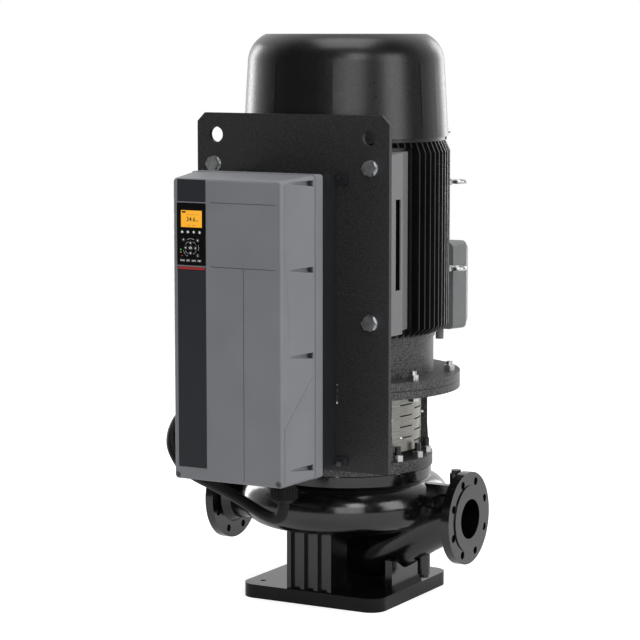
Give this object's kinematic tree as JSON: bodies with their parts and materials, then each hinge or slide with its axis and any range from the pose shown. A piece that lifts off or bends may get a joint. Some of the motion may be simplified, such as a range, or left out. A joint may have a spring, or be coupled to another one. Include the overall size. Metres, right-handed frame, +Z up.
{
  "type": "inline centrifugal pump",
  "caption": "Vertical inline centrifugal pump with finned motor, frequency drive on a plate, spiral casing with two flanged ports and square base.",
  "frame": {"origin": "where the shaft axis meets the floor, on the underside of the base plate", "axes": "+Z up along the shaft, +X along the pipe line to the suction port, -Y towards the drive's front"},
  "size_m": [0.67, 0.8986, 1.344],
  "materials": {
    "casing_black": "gloss enamel",
    "base_black": "satin enamel",
    "cast_grey": "textured coat over cast iron",
    "fin_black": "satin enamel",
    "cowl_black": "gloss enamel on pressed sheet",
    "mid_grey": "satin coat",
    "plate_black": "fine textured powder coat",
    "drive_grey": "fine moulded grain",
    "strip_dark": "fine grain",
    "panel_black": "satin",
    "key_dark": "satin",
    "display_amber": "backlit window",
    "zinc": "light zinc plate",
    "stainless": "rolled sheet",
    "steel": "ground",
    "aluminium": "extruded",
    "bare_iron": "machined casting",
    "bronze": "machined",
    "copper": "varnished winding",
    "seal_carbon": "lapped",
    "rubber_black": "matte",
    "gland_black": "satin",
    "fan_plastic": "moulded"
  },
  "bodies": {
    "pump": {"pump_casing": "casing_black", "base_plate": "base_black", "foot_screws": "zinc", "wear_ring": "bronze", "pump_cover": "casing_black", "casing_o_ring": "rubber_black", "seal_seat": "seal_carbon", "plugs_and_vent": "zinc", "motor_stool": "cast_grey", "stool_studs": "zinc", "coupling_guards": "stainless", "small_screws": "zinc", "motor_flange": "cast_grey", "flange_bolts": "zinc", "motor_bearings": "steel", "motor_frame": "fin_black", "stator_core": "steel", "stator_windings": "copper", "fan_end_shield": "fin_black", "fan_cowl": "cowl_black", "motor_feet": "mid_grey", "terminal_box": "mid_grey", "terminal_box_lid": "mid_grey", "lifting_eyes": "zinc", "mounting_plate": "plate_black", "plate_bolts": "zinc", "drive_heatsink": "aluminium", "drive_frame": "drive_grey", "drive_cover": "drive_grey", "trim_panels": "strip_dark", "operator_panel": "panel_black", "display_window": "display_amber", "cable_glands": "gland_black", "motor_cable": "rubber_black"},
    "rotor": {"motor_shaft": "steel", "rotor_core": "steel", "cooling_fan": "fan_plastic", "coupling_halves": "bare_iron", "coupling_screws": "zinc", "pump_shaft": "steel", "seal_ring": "steel", "impeller": "bare_iron", "impeller_nut": "steel"},
    "drive_fan": {"heatsink_fan": "fan_plastic"},
    "key_menu_1": {"key_menu_1": "key_dark"},
    "key_menu_2": {"key_menu_2": "key_dark"},
    "key_menu_3": {"key_menu_3": "key_dark"},
    "key_menu_4": {"key_menu_4": "key_dark"},
    "key_back": {"key_back": "key_dark"},
    "key_cancel": {"key_cancel": "key_dark"},
    "key_info": {"key_info": "key_dark"},
    "key_ok": {"key_ok": "key_dark"},
    "key_up": {"key_up": "key_dark"},
    "key_down": {"key_down": "key_dark"},
    "key_left": {"key_left": "key_dark"},
    "key_right": {"key_right": "key_dark"},
    "key_mode_1": {"key_mode_1": "key_dark"},
    "key_mode_2": {"key_mode_2": "key_dark"},
    "key_mode_3": {"key_mode_3": "key_dark"},
    "key_mode_4": {"key_mode_4": "key_dark"}
  },
  "joints": [
    {"name": "shaft_spin", "type": "hinge", "parent": "pump", "child": "rotor", "pos_m": [0, 0, 0.45], "axis": [0, 0, -1], "continuous": true},
    {"name": "drive_fan_spin", "type": "hinge", "parent": "pump", "child": "drive_fan", "pos_m": [0, -0.317, 0.376], "axis": [0, 0, 1], "continuous": true},
    {"name": "key_menu_1_press", "type": "slide", "parent": "pump", "child": "key_menu_1", "axis": [0, 1, 0], "range_m": [0, 0.0008], "stiffness_N_per_m": 900, "springref_m": -0.0008},
    {"name": "key_menu_2_press", "type": "slide", "parent": "pump", "child": "key_menu_2", "axis": [0, 1, 0], "range_m": [0, 0.0008], "stiffness_N_per_m": 900, "springref_m": -0.0008},
    {"name": "key_menu_3_press", "type": "slide", "parent": "pump", "child": "key_menu_3", "axis": [0, 1, 0], "range_m": [0, 0.0008], "stiffness_N_per_m": 900, "springref_m": -0.0008},
    {"name": "key_menu_4_press", "type": "slide", "parent": "pump", "child": "key_menu_4", "axis": [0, 1, 0], "range_m": [0, 0.0008], "stiffness_N_per_m": 900, "springref_m": -0.0008},
    {"name": "key_back_press", "type": "slide", "parent": "pump", "child": "key_back", "axis": [0, 1, 0], "range_m": [0, 0.0008], "stiffness_N_per_m": 900, "springref_m": -0.0008},
    {"name": "key_cancel_press", "type": "slide", "parent": "pump", "child": "key_cancel", "axis": [0, 1, 0], "range_m": [0, 0.0008], "stiffness_N_per_m": 900, "springref_m": -0.0008},
    {"name": "key_info_press", "type": "slide", "parent": "pump", "child": "key_info", "axis": [0, 1, 0], "range_m": [0, 0.0008], "stiffness_N_per_m": 900, "springref_m": -0.0008},
    {"name": "key_ok_press", "type": "slide", "parent": "pump", "child": "key_ok", "axis": [0, 1, 0], "range_m": [0, 0.0008], "stiffness_N_per_m": 900, "springref_m": -0.0008},
    {"name": "key_up_press", "type": "slide", "parent": "pump", "child": "key_up", "axis": [0, 1, 0], "range_m": [0, 0.0008], "stiffness_N_per_m": 900, "springref_m": -0.0008},
    {"name": "key_down_press", "type": "slide", "parent": "pump", "child": "key_down", "axis": [0, 1, 0], "range_m": [0, 0.0008], "stiffness_N_per_m": 900, "springref_m": -0.0008},
    {"name": "key_left_press", "type": "slide", "parent": "pump", "child": "key_left", "axis": [0, 1, 0], "range_m": [0, 0.0008], "stiffness_N_per_m": 900, "springref_m": -0.0008},
    {"name": "key_right_press", "type": "slide", "parent": "pump", "child": "key_right", "axis": [0, 1, 0], "range_m": [0, 0.0008], "stiffness_N_per_m": 900, "springref_m": -0.0008},
    {"name": "key_mode_1_press", "type": "slide", "parent": "pump", "child": "key_mode_1", "axis": [0, 1, 0], "range_m": [0, 0.0008], "stiffness_N_per_m": 900, "springref_m": -0.0008},
    {"name": "key_mode_2_press", "type": "slide", "parent": "pump", "child": "key_mode_2", "axis": [0, 1, 0], "range_m": [0, 0.0008], "stiffness_N_per_m": 900, "springref_m": -0.0008},
    {"name": "key_mode_3_press", "type": "slide", "parent": "pump", "child": "key_mode_3", "axis": [0, 1, 0], "range_m": [0, 0.0008], "stiffness_N_per_m": 900, "springref_m": -0.0008},
    {"name": "key_mode_4_press", "type": "slide", "parent": "pump", "child": "key_mode_4", "axis": [0, 1, 0], "range_m": [0, 0.0008], "stiffness_N_per_m": 900, "springref_m": -0.0008}
  ]
}
